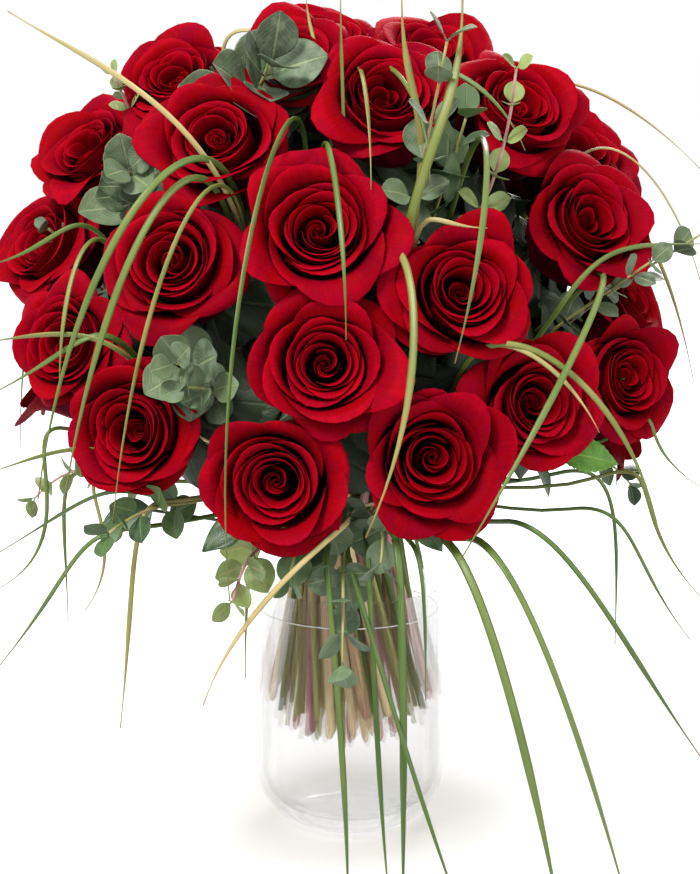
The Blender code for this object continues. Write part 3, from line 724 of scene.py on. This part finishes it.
def makeBlade(index, row, slot, ring):
    (azimuth, elevation), tip, leave, steep, pull, width, finish = row
    rng = random.Random(7000 + index)
    door = domeCentre + heading(azimuth, elevation) * domeSize
    away = unit(unit(door - aimPoint) + np.array([0, 0, steep]))
    tip, pull = np.array(tip), np.array(pull)
    inside = rise(slot, door, away, 12)
    outside = bezier((door, door + away * leave, tip + pull, tip), 26)
    foot = np.linspace(stemFoot(slot, ring), inside[0], 4)[:-1] if index < framed else inside[:0]
    path = np.concatenate([foot, inside, outside[1:]])
    share = np.linspace(0, 1, len(path))
    taper = np.clip((1 - share) / 0.20, 0.22, 1)
    bm, maps = newPiece()
    side, other, tangent = frames(path)
    flat = np.cross(tangent, (0, 1, 0))  # the broad side looks to the front and the back, give or take
    turn = np.arctan2((other * flat).sum(1), (side * flat).sum(1))
    turn = np.unwrap(turn) + rng.uniform(-0.5, 0.5) + share * rng.uniform(-0.7, 0.7)
    tube(bm, path, width / 2 * taper, 0.00028 + width * 0.07 * taper, 6, maps, (rng.random(), 0.5), turn)
    blade = linked(bm, f"blade_{index + 1:02d}", grassPaints[finish])
    if index < framed:
        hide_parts(f"grass_{index + 1:02d}")


# base, tip, half width, finish of the few single leaves that show between the blooms
looseLeaves = (
    ((0.118, -0.128, 0.262), (0.151, -0.132, 0.259), 0.0125, "fresh"),
    ((-0.014, -0.158, 0.222), (-0.027, -0.166, 0.204), 0.0100, "dark"),
    ((0.053, -0.122, 0.400), (0.059, -0.120, 0.432), 0.0060, "dark"),
    ((0.034, -0.158, 0.232), (0.052, -0.163, 0.214), 0.0085, "dark"),
    ((-0.060, -0.150, 0.226), (-0.082, -0.158, 0.214), 0.0095, "dark"),
    ((-0.118, -0.118, 0.228), (-0.142, -0.122, 0.222), 0.0090, "dark"),
    ((0.130, 0.090, 0.235), (0.158, 0.104, 0.222), 0.0120, "fresh"),
    ((-0.090, 0.140, 0.230), (-0.112, 0.160, 0.214), 0.0110, "dark"),
)


def makeLooseLeaf(index, row):
    base, tip, width, finish = row
    rng = random.Random(3000 + index)
    base, tip = np.array(base), np.array(tip)
    long = np.linalg.norm(tip - base)
    outline = toothed if finish == "fresh" else pointed
    bm, maps = newPiece()
    face = unit(np.array([base[0], base[1], 0]) + np.array([0, 0, 0.08]))
    shape = leafShape(base, tip - base, face, long, width, outline, 0.35, 0.25, 0.0008, rng.uniform(0, 6))
    sheetShape(bm, maps, (8, 40) if finish == "fresh" else (5, 9), shape, (rng.random(), 0.5))
    root = base * np.array([0.55, 0.55, 1]) - np.array([0, 0, 0.02])
    tube(bm, np.linspace(root, base, 5), 0.0008, 0.0008, 6, maps, (0.4, 0.4))
    leaf = linked(bm, f"leaf_{index + 1:02d}", freshLeafPaint if finish == "fresh" else roseLeafPaint)
    thickened(leaf, leafy["thickness"])


# the foliage that fills the bunch behind the blooms, painted near-black as painted shade
filler = {"groups": 12, "perGroup": 26, "inner": 0.66, "outer": 0.86, "length": 0.058, "width": 0.021}


def makeFiller(group):
    rng = random.Random(8000 + group)
    bm, maps = newPiece()
    for k in range(filler["perGroup"]):
        item = group * filler["perGroup"] + k
        turn = item * math.radians(plan["goldenAngle"])
        lift = -0.03 + 1.01 * (item + 0.5) / (filler["groups"] * filler["perGroup"])
        flat = math.sqrt(max(0.0, 1 - lift * lift))
        aim = np.array([flat * math.sin(turn), -flat * math.cos(turn), lift])
        across = unit(np.cross(aim, np.array([rng.uniform(-1, 1), rng.uniform(-1, 1), rng.uniform(-1, 1)])))
        tip = domeCentre + aim * domeSize * filler["outer"]
        along = unit(aim * rng.uniform(0.1, 0.7) + across)
        size = rng.uniform(0.8, 1.15)
        base = tip - along * filler["length"] * size * 0.7
        shape = leafShape(base, along, aim + 0.3 * across, filler["length"] * size, filler["width"] * size,
                          pointed, rng.uniform(-0.2, 0.5), -0.3, 0.0012, rng.uniform(0, 6))
        sheetShape(bm, maps, (4, 7), shape, (rng.random(), 0.5))
        root = domeCentre + (base - domeCentre) * filler["inner"] - np.array([0, 0, 0.012])
        tube(bm, np.linspace(root, base, 4), 0.0009, 0.0009, 5, maps, (0.4, 0.4))
    # painted shade: these inner leaves take the darkened leaf paint
    leaves = linked(bm, f"foliage_{group + 1:02d}", shadedLeafPaint)
    thickened(leaves, leafy["thickness"])


def makeBud():
    # one small closed bud deep between the front blooms
    base, way = np.array([0.021, -0.146, 0.345]), unit(np.array([0.05, -1.0, 0.25]))
    bm, maps = newPiece()
    run = np.linspace(0, 1, 9)
    swell = 0.0095 * np.sin(np.pi * (0.12 + 0.80 * run)) ** 0.8
    tube(bm, base + run[:, None] * way * 0.026, swell, swell, 14, maps, (0.2, 0.2))
    bud = linked(bm, "bud", petalMaterial)
    subdivided(bud)
    bm, maps = newPiece()
    side, other, _ = frames(np.stack([base, base + way]))
    for k in range(leafy["sepals"]):
        a = k * 2 * math.pi / leafy["sepals"]
        out = side[0] * math.cos(a) + other[0] * math.sin(a)
        shape = leafShape(base + out * 0.004, way + out * 0.35, out, 0.020, 0.0035, pointed, -0.3, 0.4)
        sheetShape(bm, maps, (4, 6), shape, (0.5, 0.5))
    low = base * np.array([0.3, 0.5, 1]) - np.array([0, 0, 0.08])
    stalk = np.array([low, base - way * 0.02, base + way * 0.004])
    tube(bm, stalk, 0.0018, 0.0018, 8, maps, (0.4, 0.4))
    sepals = linked(bm, "bud_sepals", roseLeafPaint)


def makeGreenery():
    aims = [row[:2] for row in sprigs] + [row[0] for row in blades[:framed]]
    doors = [domeCentre + heading(a, e) * domeSize * plan["doorDepth"] for a, e in aims]
    slots, rings = neckSlots(unit(np.concatenate([spots, doors]) - np.array([-0.005, 0, 0.16])))
    for index in range(len(roses)):
        makeStem(index, slots[index], rings[index])
    print("stems and leaves made")
    for index, row in enumerate(sprigs):
        item = len(roses) + index
        makeSprig(f"eucalyptus_{index + 1:02d}", row, slots[item], rings[item], f"eucalyptus_{index + 1:02d}")
    for index, row in enumerate(extraSprigs):
        angle = math.radians(row[0] + 7)
        slot = 0.0275 * np.array([math.sin(angle), -math.cos(angle)])
        makeSprig(f"sprig_{index + 1:02d}", row, slot, 4)
    print("eucalyptus made")
    for index, row in enumerate(blades):
        item = len(roses) + len(sprigs) + index
        angle = math.radians(row[0][0] + 4 * index)
        slot = slots[item] if index < framed else 0.0345 * np.array([math.sin(angle), -math.cos(angle)])
        makeBlade(index, row, slot, 4)
    print("grass made")
    for index, row in enumerate(looseLeaves):
        makeLooseLeaf(index, row)
    makeBud()
    for group in range(filler["groups"]):
        makeFiller(group)
    print("single leaves and foliage made")


makeGreenery()


# vase and water
vase = {"radius": 0.060, "height": 0.157, "wall": 0.0028, "base": 0.008, "corner": 0.030, "steps": 96,
        "waterLevel": 0.140, "wetting": 0.0002}


def cup(radius, floor, corner, steps=9):
    curve = [(radius - corner + corner * math.sin(a), floor + corner - corner * math.cos(a))
             for a in (math.pi / 2 * k / steps for k in range(steps + 1))]
    return [(0, floor)] + curve


def lathe(name, profile, material):
    bm = bmesh.new()
    points = [bm.verts.new((r, 0, z)) for r, z in profile]
    edges = [bm.edges.new(pair) for pair in zip(points, points[1:])]
    bmesh.ops.spin(bm, geom=points + edges, cent=(0, 0, 0), axis=(0, 0, 1), dvec=(0, 0, 0),
                   angle=2 * math.pi, steps=vase["steps"], use_merge=True)
    bmesh.ops.remove_doubles(bm, verts=bm.verts, dist=1e-6)
    bmesh.ops.recalc_face_normals(bm, faces=bm.faces)
    return linked(bm, name, material)


def makeVase():
    radius, wall, lip = vase["radius"], vase["wall"], vase["wall"] / 2
    inner = cup(radius - wall, vase["base"], vase["corner"] - wall)
    inner = [(r, z + 0.0035 * math.exp(-(r / 0.022) ** 2)) for r, z in inner[:1]] + inner[1:]
    outer = cup(radius, 0, vase["corner"])
    rim = [(radius - lip + lip * math.cos(a), vase["height"] - lip + lip * math.sin(a))
           for a in (math.pi * k / 8 for k in range(9))]
    glass = Paint("clearGlass", {"Transmission Weight": 1.0, "IOR": 1.14, "Roughness": 0.0,
                                 "Base Color": (0.80, 0.81, 0.82, 1), "Alpha": 0.40})
    smear = glass.noise(glass.place(), 26.0, 3.0)
    material = glass.finish(None, None, smear, 0.0002, 0.01)
    piece = lathe("vase_glass", outer + rim + inner[::-1], material)
    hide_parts("vase")


def makeWater():
    low = vase["wall"] - vase["wetting"]
    radius, level = vase["radius"] - low, vase["waterLevel"]
    body = cup(radius, vase["base"] - vase["wetting"], vase["corner"] - low)
    meniscus = [(radius, level + 0.0012), (radius - 0.0008, level + 0.0005), (radius - 0.002, level)]
    water = Paint("water", {"Transmission Weight": 1.0, "IOR": 1.05, "Roughness": 0.0,
                            "Base Color": (0.98, 0.98, 0.97, 1), "Alpha": 0.16})
    ripple = water.noise(water.place(), 40.0, 2.0)
    material = water.finish(None, None, ripple, 0.0002, 0.01)
    piece = lathe("vase_water", body + meniscus + [(0, level)], material)
    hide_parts("water")
    # painted highlight: a whitish tube for the bright line where the water climbs the glass
    bm, maps = newPiece()
    around = np.linspace(0, 2 * math.pi, vase["steps"] + 1)
    reach = radius - 0.0009
    up = np.full_like(around, level + 0.0002)
    circle = np.stack([reach * np.sin(around), -reach * np.cos(around), up], 1)
    tube(bm, circle, 0.00035, 0.00045, 6, maps, (0.5, 0.5))
    # the tube's whitish colour is the painted highlight
    shine = Paint("meniscusHighlight", {"Roughness": 0.15, "Base Color": (0.93, 0.92, 0.89, 1), "Alpha": 0.75})
    waver = shine.noise(shine.place(), 60.0, 2.0)
    line = linked(bm, "vase_meniscus_highlight", shine.finish(None, None, waver, 0.0001, 0.01))
    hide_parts("water")


makeVase()
makeWater()
print("vase and water made")


# the room
def makeRoom():
    paint = Paint("paleFloor", {"Roughness": 0.8, "Specular IOR Level": 0.0, "Emission Strength": 1.0})
    # painted light: the floor glows, weaker near the vase so the lamps' shading shows there, and full white
    # far off to meet the white backdrop
    near = paint.node("ShaderNodeTexGradient", {"gradient_type": "SPHERICAL"}, {"Vector": paint.place()})
    glow = paint.mix(paint.smooth(near, 0.05, 0.60), (1, 1, 1, 1), (0.60, 0.58, 0.57, 1))
    # painted shadow: a ring of weaker, warmer glow round the vase's foot, fainter under the glass itself
    paintedShadowRing = paint.smooth(near, 0.87, 0.94) + paint.smooth(near, 0.945, 0.965) * -0.75
    glow = paint.mix(paintedShadowRing, glow, (0.36, 0.335, 0.29, 1))
    paint.feed(paint.shader.inputs["Emission Color"], glow)
    grain = paint.noise(paint.place(), 6.0, 3.0)
    material = paint.finish(paint.mix(grain, (0.30, 0.30, 0.30, 1), (0.33, 0.33, 0.33, 1)))
    bm = bmesh.new()
    bmesh.ops.create_circle(bm, cap_ends=True, radius=9.0, segments=64)
    mesh = bpy.data.meshes.new("floor")
    bm.to_mesh(mesh)
    bm.free()
    mesh.materials.append(material)
    floor = bpy.data.objects.new("floor", mesh)
    bpy.context.collection.objects.link(floor)
    world = bpy.data.worlds.new("studio")
    world.use_nodes = True
    world.node_tree.nodes["Background"].inputs[0].default_value = (1, 1, 1, 1)
    world.node_tree.nodes["Background"].inputs[1].default_value = 1.0
    bpy.context.scene.world = world
    bpy.context.scene.view_settings.view_transform = "Standard"


lamps = (
    ("key", (-0.9, -1.3, 1.9), 0.8, 80),
    ("fill", (1.7, -1.1, 1.0), 1.2, 16),
    ("back", (0.5, 1.7, 1.7), 1.0, 60),
)


def makeLights():
    for name, place, size, power in lamps:
        data = bpy.data.lights.new(name, "AREA")
        data.shape, data.size, data.energy = "DISK", size, power
        lamp = bpy.data.objects.new(name, data)
        lamp.location = place
        aim = Vector((0, 0, 0.30)) - Vector(place)
        lamp.rotation_euler = aim.to_track_quat("-Z", "Y").to_euler()
        bpy.context.collection.objects.link(lamp)


view = {"distance": 1.10, "height": 0.43, "down": 10.0, "lens": 72.5, "shift": 0.0252}


def makeCamera():
    data = bpy.data.cameras.new("camera")
    data.lens, data.sensor_fit, data.sensor_height = view["lens"], "VERTICAL", 36.0
    data.shift_y = view["shift"]
    camera = bpy.data.objects.new("camera", data)
    camera.location = (0, -view["distance"], view["height"])
    camera.rotation_euler = (math.radians(90 - view["down"]), 0, 0)
    bpy.context.collection.objects.link(camera)
    bpy.context.scene.camera = camera


makeRoom()
makeLights()
makeCamera()
print("room, lights and camera made")
